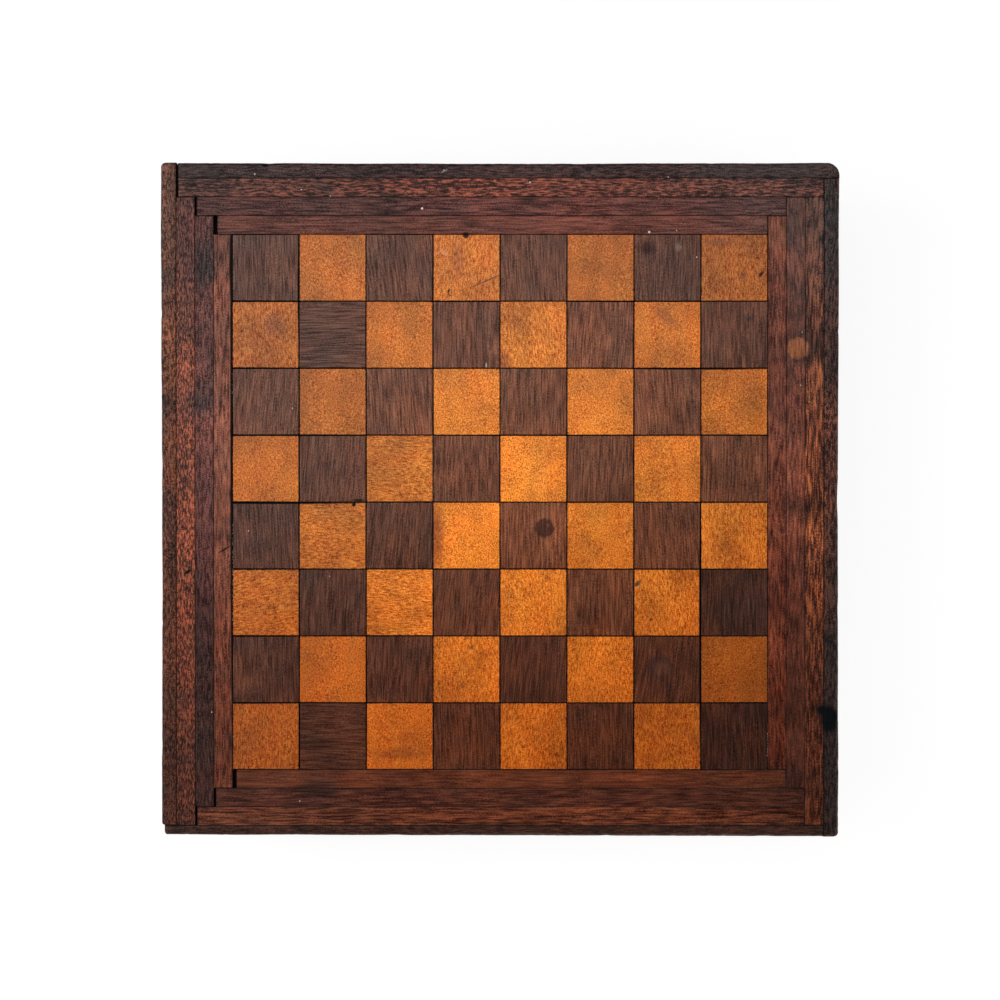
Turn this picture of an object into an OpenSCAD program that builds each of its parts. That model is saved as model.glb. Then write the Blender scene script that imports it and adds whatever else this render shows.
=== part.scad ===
// Chess box: a parquet chess board on a shallow case with a drawer at its front and one at its back.
// The origin is under the middle of the box, on the surface it stands on. +Z is up and -Y is the front.

/* [Playing field] */
// Side of one square, from the middle of one joint to the middle of the next
square_pitch = 38; // [25:0.5:60]
// Width of the open joint round each square
square_joint = 0.7; // [0.5:0.1:1.2]
// How far the hand-cut squares stray from their grid
square_stray = 0.12; // [0:0.02:0.14]
// How many degrees the squares are turned from square, at most
square_turn = 0.2; // [0:0.05:0.25]
// Thickness of the squares and of the border strips
parquet_t = 6; // [3:0.5:12]

/* [Border] */
// Width of one border strip
strip_w = 10.6; // [6:0.2:20]
// Joint between two border strips
strip_joint = 0.2; // [0.2:0.1:1]
// Gap that shrinkage has opened at the left-hand end of the outer and middle strips
end_gap = 1.1; // [0.2:0.1:3]
// Gap at the left-hand end of the innermost strips
inner_end_gap = 2.2; // [0.2:0.1:4]

/* [Lippings] */
// Width of the left, right and back lippings
lipping_w = 9; // [5:0.2:16]
// Width of the front lipping, which is worn or planed thinner
front_lipping_w = 6.6; // [5:0.2:16]
// How far the end of the front lipping stays behind the left lipping
front_lipping_inset = 2; // [0.5:0.5:4]
// Radius of the worn outer edges of the lippings
lipping_edge_r = 1.6; // [0.5:0.1:3]
// Radius of the rounded board corner at the back right
rubbed_corner_r = 7; // [3:0.5:8]
// Radius of the other three board corners
corner_r = 2; // [0.5:0.5:4]
// Thickness of the board that carries the parquet
ground_t = 10; // [8:0.5:18]

/* [Case] */
// Height of the case under the board
case_h = 64; // [50:1:120]
// How far the board stands out over the case on each side
overhang = 4.6; // [1:0.2:5]
// Thickness of the side panels
side_t = 10; // [9:0.5:18]
// Depth of the rails over and under the drawers, from front to back
rail_d = 22; // [18:1:40]
// Thickness of the rails over the drawers
top_rail_t = 8; // [6:0.5:14]
// Height of the rails under the drawers
bottom_rail_t = 12; // [11:0.5:20]
// Thickness of the partition between the two drawers
partition_t = 8; // [5:0.5:16]
// Depth of the housings that hold the ends of the partition
housing_d = 4; // [2:0.5:5]
// Thickness of the bottom panel
bottom_t = 5; // [3:0.5:7]
// Width of the rebate that holds the bottom panel in the side panels
rebate_w = 5; // [3:0.5:6]
// Width of the rebate that holds the bottom panel in the rails
rail_rebate_w = 8; // [5:0.5:9]
// Play in the glued joints of the case and the drawers
glue_fit = 0.1; // [0.05:0.05:0.2]

/* [Case joinery] */
// Length of the dovetails at the ends of the top rails
lap_tail_l = 7; // [4:0.5:8]
// Width of those dovetails at their end
lap_tail_w = 15; // [10:1:16]
// Length of the tenons at the ends of the bottom rails
tenon_l = 6; // [3:0.5:7]
// Shoulder round those tenons
tenon_shoulder = 3; // [2:0.5:3.5]
// Run of a dovetail's slope for one of rise
dovetail_slope = 6; // [5:0.5:10]
// Width of the runners under the drawers and of the kickers over them
runner_w = 14; // [11:0.5:24]

/* [Drawers] */
// Play between a drawer and the case at each side
drawer_side_gap = 0.7; // [0.4:0.1:1.5]
// Play between a drawer and its runners
drawer_under_gap = 0.3; // [0.3:0.1:0.6]
// Play between a drawer and the rail over it
drawer_over_gap = 0.7; // [0.4:0.1:1.5]
// Play between a shut drawer and the partition that stops it
drawer_stop_gap = 0.4; // [0.3:0.1:1.5]
// Thickness of the drawer fronts
front_t = 12; // [10:0.5:18]
// Thickness of wood left over the dovetails in the drawer fronts
lap_t = 4; // [2:0.5:5]
// Thickness of the drawer sides
drawer_side_t = 8; // [6:0.5:12]
// Thickness of the drawer backs
drawer_back_t = 8; // [6:0.5:12]
// How far the drawer backs stay under the top of the drawer sides
back_drop = 3; // [1:0.5:8]
// Thickness of the drawer bottoms
panel_t = 4; // [3:0.5:5]
// Depth of the grooves that hold the drawer bottoms
groove_d = 4; // [2:0.5:5]
// Height of those grooves over the lower edge of the drawer
groove_up = 5; // [4:0.5:6]
// Number of dovetails at the front of each drawer side
front_tails = 3; // [2:1:4]
// Number of dovetails at the back of each drawer side
back_tails = 2; // [1:1:3]
// Width of the pins between the dovetails, at their narrow end
pin_w = 4; // [2:0.5:5]

/* [Knobs] */
// Diameter of a knob
knob_d = 14; // [11:0.5:22]
// How far a knob stands out from its drawer front
knob_l = 13; // [11:0.5:20]
// Radius of the knob's domed face
knob_dome_r = 18; // [12:1:40]
// Radius of the knob's rounded rim
knob_rim_r = 1.5; // [0.5:0.1:2]
// Diameter of the knob's waist
knob_waist_d = 5.6; // [5.2:0.1:7]
// Diameter of the knob's foot
knob_foot_d = 10; // [8:0.5:14]
// Thickness of the knob's foot
knob_foot_t = 1.5; // [1:0.1:3]

/* [Screws] */
// Diameter of the case screws
screw_d = 3; // [2:0.5:3.5]
// Diameter of their countersunk heads
screw_head_d = 5.6; // [4:0.2:6.5]
// Length of the screws in the bottom panel
short_screw_l = 10; // [8:0.5:10.5]
// Length of the screws that hold the board
long_screw_l = 15; // [12:0.5:15.5]
// Diameter of the knob screws
knob_screw_d = 3.5; // [2.5:0.5:4]
// Diameter of the heads of the knob screws
knob_screw_head_d = 7; // [5:0.5:9]
// How far the knob screws reach into the knobs
knob_screw_grip = 7; // [4:0.5:8]
// Play round the screws
screw_fit = 0.05; // [0.02:0.01:0.1]

/* [Hidden] */
$fn = 48;
SQUARES = 8;
STRIPS = 3;
SIDES = ["left", "back", "right", "front"];
STRIP_NAMES = ["outer", "middle", "inner"];
// Seed of the squares' stray, for the same board every time
STRAY_SEED = 11;
// How far a cutter runs past the face it opens
CUT = 1;

// Plan of the board. Ring 1 is the outer strip, ring STRIPS the inner one, and the field starts at STRIPS + 1.
field = SQUARES * square_pitch;
border_w = STRIPS * strip_w;
board_w = field + 2 * border_w + 2 * lipping_w;
board_d = field + 2 * border_w + lipping_w + front_lipping_w;
field_y = (front_lipping_w - lipping_w) / 2;
function ring_x(ring) = field / 2 + (STRIPS + 1 - ring) * strip_w;
function back_y(ring) = field_y + ring_x(ring);
function front_y(ring) = field_y - ring_x(ring);
function left_end_gap(ring) = ring == STRIPS ? inner_end_gap : end_gap;

// Levels
board_z = case_h;
parquet_z = board_z + ground_t;
board_t = ground_t + parquet_t;

// Case
case_w = board_w - 2 * overhang;
case_d = board_d - 2 * overhang;
inner_x = case_w / 2 - side_t;
rail_y = case_d / 2 - rail_d;
top_rail_z = case_h - top_rail_t;
bottom_x = inner_x + rebate_w;
bottom_y = rail_y + rail_rebate_w;

// Drawers, as the front one lies
drawer_x = inner_x - drawer_side_gap;
drawer_in_x = drawer_x - drawer_side_t;
drawer_z0 = bottom_rail_t + drawer_under_gap;
drawer_z1 = top_rail_z - drawer_over_gap;
drawer_mid_z = (drawer_z0 + drawer_z1) / 2;
front_face_y = -case_d / 2;
front_in_y = front_face_y + front_t;
lap_y = front_face_y + lap_t;
drawer_end_y = -partition_t / 2 - drawer_stop_gap;
back_in_y = drawer_end_y - drawer_back_t;
groove_z0 = drawer_z0 + groove_up;
groove_z1 = groove_z0 + panel_t + 2 * glue_fit;
back_z1 = drawer_z1 - back_drop;

// Screws
csk_h = (screw_head_d - screw_d) / 2 + 0.5;
knob_screw_head_h = 2.2;
SLOT_W = 0.8;
SLOT_DEPTH = 0.9;
side_screw_x = inner_x + rebate_w / 2;
rail_screw_y = rail_y + rail_rebate_w / 2;
side_screw_ys = [for (k = [-1.5:1:1.5]) k * bottom_y / 2];
rail_screw_xs = [for (k = [-1:1:1]) k * inner_x * 2 / 3];
top_screw_y = rail_y + rail_d / 2;

// Woods and metals
LIGHT_WOOD = "#bf6f30";
DARK_WOOD = "#4a322b";
FIGURED_RED = "#8f4a2e";
PURPLE_BROWN = "#50342f";
RED_BROWN = "#74463a";
LIPPING_WOOD = "#3e2e2a";
CASE_WOOD = "#5f3b2c";
DRAWER_WOOD = "#b98a5a";
AGED_BRASS = "#8a7440";
STEEL = "#8d8d8a";

// A block between two opposite corners
module block(low, high) {
    translate(low) cube(high - low);
}

// What is drawn for the front, at the back as well
module turned_to_back() {
    rotate([0, 0, 180]) children();
}

// ---------- Board ----------

module ground_board() {
    color(CASE_WOOD) difference() {
        block([-ring_x(1), front_y(1), board_z], [ring_x(1), back_y(1), parquet_z]);
        board_screw_holes();
    }
}

// One square, a little off its place as hand-cut squares are
module square_block(file, rank) {
    stray = rands(-1, 1, 3 * SQUARES * SQUARES, STRAY_SEED);
    index = 3 * ((rank - 1) * SQUARES + file - 1);
    side = square_pitch - square_joint;
    x = (file - 0.5) * square_pitch - field / 2 + stray[index] * square_stray;
    y = (rank - 0.5) * square_pitch - field / 2 + field_y + stray[index + 1] * square_stray;
    translate([x, y, parquet_z])
        rotate([0, 0, stray[index + 2] * square_turn])
            translate([-side / 2, -side / 2, 0]) cube([side, side, parquet_t]);
}

// The near left square is light, and the squares of a rank take turns
module squares(rank, light) {
    for (file = [1:SQUARES])
        if (((file + rank) % 2 == 0) == light) square_block(file, rank);
}

// Ends of a strip in plan: [low x, low y, high x, high y] before the joints are taken off.
// Back strips lap over the left and, in ring 1, the right ones, and front strips run under them.
function strip_span(side, ring) =
    side == "left" ? [-ring_x(ring), front_y(ring), -ring_x(ring + 1), back_y(ring + 1)]
    : side == "back" ? [-ring_x(ring), back_y(ring + 1), ring == 1 ? ring_x(1) : ring_x(ring + 1), back_y(ring)]
    : side == "right" ? [ring_x(ring + 1), ring == 1 ? front_y(1) : front_y(ring + 1),
                         ring_x(ring), back_y(max(ring, 2))]
    : [-ring_x(ring + 1), front_y(ring), ring_x(max(ring, 2)), front_y(ring + 1)];

module border_strip(side, ring) {
    span = strip_span(side, ring);
    joint = strip_joint / 2;
    opened = side == "back" || side == "front" ? left_end_gap(ring) : joint;
    tint = ring == 1 ? FIGURED_RED : ring == 2 ? PURPLE_BROWN : RED_BROWN;
    color(tint)
        block([span[0] + opened, span[1] + joint, parquet_z],
              [span[2] - joint, span[3] - joint, parquet_z + parquet_t]);
}

// Corner of a board edge, rounded: what is left of a square when the quarter circle is taken off
module corner_waste(r) {
    difference() {
        square(r + CUT);
        circle(r);
    }
}

// A lipping along +X with its inner face on Y = 0. Its outer corners are rounded in plan, its outer edges in section.
module lipping_bar(length, width, start_r, end_r) {
    edge_z = board_t - lipping_edge_r;
    color(LIPPING_WOOD) intersection() {
        rotate([90, 0, 90]) linear_extrude(length) difference() {
            square([width, board_t]);
            translate([width - lipping_edge_r, edge_z]) corner_waste(lipping_edge_r);
            translate([width - lipping_edge_r, lipping_edge_r]) mirror([0, 1]) corner_waste(lipping_edge_r);
        }
        linear_extrude(board_t) difference() {
            square([length, width]);
            if (start_r > 0) translate([start_r, width - start_r]) mirror([1, 0]) corner_waste(start_r);
            if (end_r > 0) translate([length - end_r, width - end_r]) corner_waste(end_r);
        }
    }
}

// The lippings butt against each other in turn round the board, and each laps over the end of its neighbour
module left_lipping() {
    translate([-ring_x(1), front_y(1), board_z]) rotate([0, 0, 90])
        lipping_bar(board_d / 2 - front_y(1), lipping_w, 0, corner_r);
}

module back_lipping() {
    translate([-ring_x(1) + end_gap, back_y(1), board_z])
        lipping_bar(board_w / 2 + ring_x(1) - end_gap, lipping_w, 0, rubbed_corner_r);
}

module right_lipping() {
    translate([ring_x(1), back_y(1) - strip_joint / 2, board_z]) rotate([0, 0, -90])
        lipping_bar(back_y(1) - strip_joint / 2 + board_d / 2, lipping_w, 0, corner_r);
}

module front_lipping() {
    translate([ring_x(1) - strip_joint / 2, front_y(1), board_z]) rotate([0, 0, 180])
        lipping_bar(ring_x(1) - strip_joint / 2 + board_w / 2 - front_lipping_inset, front_lipping_w, 0, corner_r);
}

// ---------- Case ----------

// Dovetail at the end of a top rail, in plan, pointing along +X. The play makes its socket.
module lap_tail(play) {
    root = lap_tail_w / 2 - lap_tail_l / dovetail_slope;
    tip = lap_tail_w / 2;
    translate([0, 0, top_rail_z - play]) linear_extrude(top_rail_t + play + (play > 0 ? CUT : 0))
        polygon([[-play, -root - play], [lap_tail_l + play, -tip - play],
                 [lap_tail_l + play, tip + play], [-play, root + play]]);
}

// Tenon at the end of a bottom rail, pointing along +X from the shoulder at X = 0
module rail_tenon(play) {
    block([-play, -case_d / 2 + tenon_shoulder - play, tenon_shoulder - play],
          [tenon_l + play, -bottom_y - tenon_shoulder + play, bottom_rail_t - tenon_shoulder + play]);
}

module side_panel() {
    color(CASE_WOOD) difference() {
        block([inner_x, -case_d / 2, 0], [case_w / 2, case_d / 2, case_h]);
        for (turn = [0, 1]) mirror([0, turn, 0]) translate([inner_x, 0, 0]) {
            translate([0, -rail_y - rail_d / 2, 0]) lap_tail(glue_fit);
            rail_tenon(glue_fit);
        }
        block([inner_x - CUT, -partition_t / 2 - glue_fit, bottom_t],
              [inner_x + housing_d + glue_fit, partition_t / 2 + glue_fit, case_h + CUT]);
        block([inner_x - CUT, -bottom_y, -CUT], [bottom_x, bottom_y, bottom_t]);
        bottom_screw_holes(screw_d);
    }
}

module top_rail() {
    color(CASE_WOOD) difference() {
        union() {
            block([-inner_x, -case_d / 2, top_rail_z], [inner_x, -rail_y, case_h]);
            for (turn = [0, 1]) mirror([turn, 0, 0])
                translate([inner_x, -rail_y - rail_d / 2, 0]) lap_tail(0);
        }
        board_screw_holes();
    }
}

module bottom_rail() {
    color(CASE_WOOD) difference() {
        union() {
            block([-inner_x, -case_d / 2, 0], [inner_x, -rail_y, bottom_rail_t]);
            for (turn = [0, 1]) mirror([turn, 0, 0]) translate([inner_x, 0, 0]) rail_tenon(0);
        }
        block([-inner_x - CUT, -bottom_y, -CUT], [inner_x + CUT, -rail_y + CUT, bottom_t]);
        bottom_screw_holes(screw_d);
    }
}

module centre_partition() {
    color(CASE_WOOD)
        block([-inner_x - housing_d, -partition_t / 2, bottom_t], [inner_x + housing_d, partition_t / 2, case_h]);
}

module bottom_panel() {
    color(DRAWER_WOOD) difference() {
        block([-bottom_x + glue_fit, -bottom_y + glue_fit, 0], [bottom_x - glue_fit, bottom_y - glue_fit, bottom_t]);
        bottom_screw_holes(screw_d);
        at_bottom_screws() screw_head(screw_fit);
    }
}

// A pair of guide strips for one drawer, against the two side panels
module guide_strips(low_z, high_z) {
    color(DRAWER_WOOD) for (turn = [0, 1]) mirror([turn, 0, 0])
        block([inner_x - runner_w, -rail_y + glue_fit, low_z],
              [inner_x - glue_fit, -partition_t / 2 - glue_fit, high_z]);
}

module runners() {
    guide_strips(bottom_t, bottom_rail_t);
}

module kickers() {
    guide_strips(top_rail_z, case_h);
}

// ---------- Screws ----------

module at_bottom_screws() {
    for (x = [-side_screw_x, side_screw_x], y = side_screw_ys) translate([x, y, 0]) children();
    for (x = rail_screw_xs, y = [-rail_screw_y, rail_screw_y]) translate([x, y, 0]) children();
}

module at_board_screws() {
    for (x = rail_screw_xs, y = [-top_screw_y, top_screw_y]) translate([x, y, top_rail_z]) children();
}

// Countersunk head with its face on Z = 0 and its shank up. The play makes its seat.
module screw_head(play) {
    cylinder(h = csk_h, d1 = screw_head_d + 2 * play, d2 = screw_d + 2 * play);
}

module bottom_screw_holes(d) {
    at_bottom_screws() translate([0, 0, -CUT]) cylinder(h = short_screw_l + CUT + screw_fit, d = d + 2 * screw_fit);
}

module board_screw_holes() {
    at_board_screws() {
        translate([0, 0, -CUT]) cylinder(h = long_screw_l + CUT + screw_fit, d = screw_d + 2 * screw_fit);
        screw_head(screw_fit);
    }
}

module wood_screw(length) {
    difference() {
        union() {
            screw_head(0);
            cylinder(h = length, d = screw_d);
        }
        block([-screw_head_d, -SLOT_W / 2, -CUT], [screw_head_d, SLOT_W / 2, SLOT_DEPTH]);
    }
}

module case_screws() {
    color(STEEL) {
        at_bottom_screws() wood_screw(short_screw_l);
        at_board_screws() wood_screw(long_screw_l);
    }
}

// ---------- Drawers, drawn as the front one ----------

// A row of dovetails in the Y-Z plane, from their roots at Y = 0 to their tips at +Y, over a height that starts at Z = 0
module tail_row(count, height, length, play) {
    pitch = height / count;
    tip = (pitch - pin_w) / 2 + play;
    root = tip - length / dovetail_slope;
    for (k = [0:count - 1]) translate([0, (k + 0.5) * pitch])
        polygon([[-play, -root], [length + play, -tip], [length + play, tip], [-play, root]]);
}

// The row of dovetails through the thickness of the drawer side at +X
module side_tails(count, height, length, play) {
    translate([drawer_in_x, 0, 0]) rotate([90, 0, 90])
        linear_extrude(drawer_side_t + (play > 0 ? CUT : 0)) tail_row(count, height, length, play);
}

module front_end_tails(play) {
    translate([0, front_in_y, drawer_z0]) mirror([0, 1, 0])
        side_tails(front_tails, drawer_z1 - drawer_z0, front_t - lap_t, play);
}

module back_end_tails(play) {
    translate([0, back_in_y, groove_z1]) side_tails(back_tails, back_z1 - groove_z1, drawer_back_t, play);
}

module drawer_groove(low_y, high_y) {
    block([-drawer_in_x - groove_d, low_y, groove_z0], [drawer_in_x + groove_d, high_y, groove_z1]);
}

module drawer_front() {
    color(CASE_WOOD) difference() {
        block([-drawer_x, front_face_y, drawer_z0], [drawer_x, front_in_y, drawer_z1]);
        for (turn = [0, 1]) mirror([turn, 0, 0]) front_end_tails(glue_fit);
        drawer_groove(front_in_y - groove_d, front_in_y + CUT);
        at_knob() translate([0, 0, -front_t - CUT])
            cylinder(h = front_t + 2 * CUT, d = knob_screw_d + 2 * screw_fit);
    }
}

module drawer_side() {
    color(DRAWER_WOOD) difference() {
        union() {
            block([drawer_in_x, front_in_y, drawer_z0], [drawer_x, back_in_y, drawer_z1]);
            front_end_tails(0);
            difference() {
                block([drawer_in_x, back_in_y, drawer_z0], [drawer_x, drawer_end_y, drawer_z1]);
                block([drawer_in_x - CUT, back_in_y, groove_z1 - glue_fit],
                      [drawer_x + CUT, drawer_end_y + CUT, back_z1 + glue_fit]);
            }
            back_end_tails(0);
        }
        drawer_groove(lap_y - CUT, drawer_end_y + CUT);
    }
}

module drawer_back() {
    color(DRAWER_WOOD) difference() {
        block([-drawer_x, back_in_y, groove_z1], [drawer_x, drawer_end_y, back_z1]);
        for (turn = [0, 1]) mirror([turn, 0, 0]) back_end_tails(glue_fit);
    }
}

module drawer_bottom() {
    color(DRAWER_WOOD)
        block([-drawer_in_x - groove_d + glue_fit, front_in_y - groove_d + glue_fit, groove_z0 + glue_fit],
              [drawer_in_x + groove_d - glue_fit, drawer_end_y, groove_z1 - glue_fit]);
}

// Puts a piece that points along +Z on the drawer front, pointing out of it
module at_knob() {
    translate([0, front_face_y, drawer_mid_z]) rotate([90, 0, 0]) children();
}

// Half of the knob's section: foot, hollow waist and domed head
module knob_section() {
    rim_x = knob_d / 2 - knob_rim_r;
    dome_drop = knob_dome_r - sqrt(knob_dome_r * knob_dome_r - rim_x * rim_x);
    head_z = knob_l - dome_drop - 2 * knob_rim_r;
    waist_h = head_z - knob_foot_t;
    square([knob_foot_d / 2, knob_foot_t]);
    difference() {
        translate([0, knob_foot_t]) square([knob_foot_d / 2, waist_h]);
        translate([(knob_waist_d + waist_h) / 2, knob_foot_t + waist_h / 2]) circle(d = waist_h);
    }
    intersection() {
        translate([0, head_z]) square([rim_x, knob_l]);
        translate([0, knob_l - knob_dome_r]) circle(knob_dome_r);
    }
    translate([rim_x, head_z + knob_rim_r]) circle(knob_rim_r);
}

module drawer_knob() {
    color(AGED_BRASS) at_knob() difference() {
        rotate_extrude() knob_section();
        translate([0, 0, -CUT]) cylinder(h = knob_screw_grip + CUT + screw_fit, d = knob_screw_d + 2 * screw_fit);
    }
}

module drawer_knob_screw() {
    color(STEEL) at_knob() difference() {
        union() {
            translate([0, 0, -front_t]) cylinder(h = front_t + knob_screw_grip, d = knob_screw_d);
            translate([0, 0, -front_t - knob_screw_head_h]) cylinder(h = knob_screw_head_h, d = knob_screw_head_d);
        }
        block([-knob_screw_head_d, -SLOT_W / 2, -front_t - knob_screw_head_h - CUT],
              [knob_screw_head_d, SLOT_W / 2, -front_t - knob_screw_head_h + SLOT_DEPTH]);
    }
}

// ---------- Nodes ----------

ground_board();
for (rank = [1:SQUARES]) {
    color(LIGHT_WOOD) squares(rank, true);
    color(DARK_WOOD) squares(rank, false);
}
for (side = SIDES, ring = [1:STRIPS])
    border_strip(side, ring);
left_lipping();
back_lipping();
right_lipping();
front_lipping();

mirror([1, 0, 0]) side_panel();  // left_side_panel
side_panel();  // right_side_panel
top_rail();  // front_top_rail
turned_to_back() top_rail();  // back_top_rail
bottom_rail();  // front_bottom_rail
turned_to_back() bottom_rail();  // back_bottom_rail
centre_partition();
bottom_panel();
runners();  // front_runners
turned_to_back() runners();  // back_runners
kickers();  // front_kickers
turned_to_back() kickers();  // back_kickers
case_screws();

drawer_front();  // front_drawer_front
mirror([1, 0, 0]) drawer_side();  // front_drawer_left_side
drawer_side();  // front_drawer_right_side
drawer_back();  // front_drawer_back
drawer_bottom();  // front_drawer_bottom
drawer_knob();  // front_drawer_knob
drawer_knob_screw();  // front_drawer_knob_screw
turned_to_back() drawer_front();  // back_drawer_front
turned_to_back() mirror([1, 0, 0]) drawer_side();  // back_drawer_left_side
turned_to_back() drawer_side();  // back_drawer_right_side
turned_to_back() drawer_back();  // back_drawer_back
turned_to_back() drawer_bottom();  // back_drawer_bottom
turned_to_back() drawer_knob();  // back_drawer_knob
turned_to_back() drawer_knob_screw();  // back_drawer_knob_screw
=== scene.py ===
"""Looks of the chess box: old shellacked woods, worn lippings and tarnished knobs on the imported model."""
import math
import random

import bmesh
import bpy
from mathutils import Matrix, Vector, noise


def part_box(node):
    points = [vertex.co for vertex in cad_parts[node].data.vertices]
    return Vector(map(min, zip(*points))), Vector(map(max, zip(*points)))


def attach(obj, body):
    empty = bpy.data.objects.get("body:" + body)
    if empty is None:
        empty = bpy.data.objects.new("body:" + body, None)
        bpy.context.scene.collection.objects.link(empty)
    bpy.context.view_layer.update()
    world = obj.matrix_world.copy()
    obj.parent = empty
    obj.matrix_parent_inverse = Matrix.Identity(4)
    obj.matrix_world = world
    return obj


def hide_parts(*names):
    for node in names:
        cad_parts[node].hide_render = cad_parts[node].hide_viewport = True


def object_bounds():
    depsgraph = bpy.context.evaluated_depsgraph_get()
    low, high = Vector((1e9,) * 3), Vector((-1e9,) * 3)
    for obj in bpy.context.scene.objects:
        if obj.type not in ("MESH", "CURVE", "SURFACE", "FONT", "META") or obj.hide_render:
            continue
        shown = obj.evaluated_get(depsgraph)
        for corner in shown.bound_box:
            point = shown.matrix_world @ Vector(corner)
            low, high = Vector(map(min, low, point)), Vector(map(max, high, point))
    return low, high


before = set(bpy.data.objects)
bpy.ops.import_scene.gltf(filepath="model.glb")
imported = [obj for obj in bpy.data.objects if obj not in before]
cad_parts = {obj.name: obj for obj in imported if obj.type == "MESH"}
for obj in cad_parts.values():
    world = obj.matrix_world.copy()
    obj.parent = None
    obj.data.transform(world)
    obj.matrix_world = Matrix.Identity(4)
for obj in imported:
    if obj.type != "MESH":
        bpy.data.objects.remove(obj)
cad_low, cad_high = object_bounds()

MM = 0.001
SQUARES = 8
SIDES = ("left", "back", "right", "front")


# -------- objects, and where the board's pieces lie

def box_mm(node):
    """Lowest and highest corner of a node, in millimetres."""
    low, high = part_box(node)
    return Vector(low) / MM, Vector(high) / MM


def added(data):
    """A new object in the scene, named after its mesh, lamp or camera."""
    made = bpy.data.objects.new(data.name, data)
    bpy.context.collection.objects.link(made)
    return made


FIELD_LOW = (box_mm("left_inner_strip")[1][0], box_mm("front_inner_strip")[1][1])
FIELD_HIGH = (box_mm("right_inner_strip")[0][0], box_mm("back_inner_strip")[0][1])
PITCH = tuple((high - low) / SQUARES for low, high in zip(FIELD_LOW, FIELD_HIGH))
TOP = cad_high[2]
BOARD = (Vector((box_mm("left_lipping")[0][0], box_mm("front_lipping")[0][1], 0.0)),
         Vector((box_mm("right_lipping")[1][0], box_mm("back_lipping")[1][1], TOP / MM)))


# -------- node graphs

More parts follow.
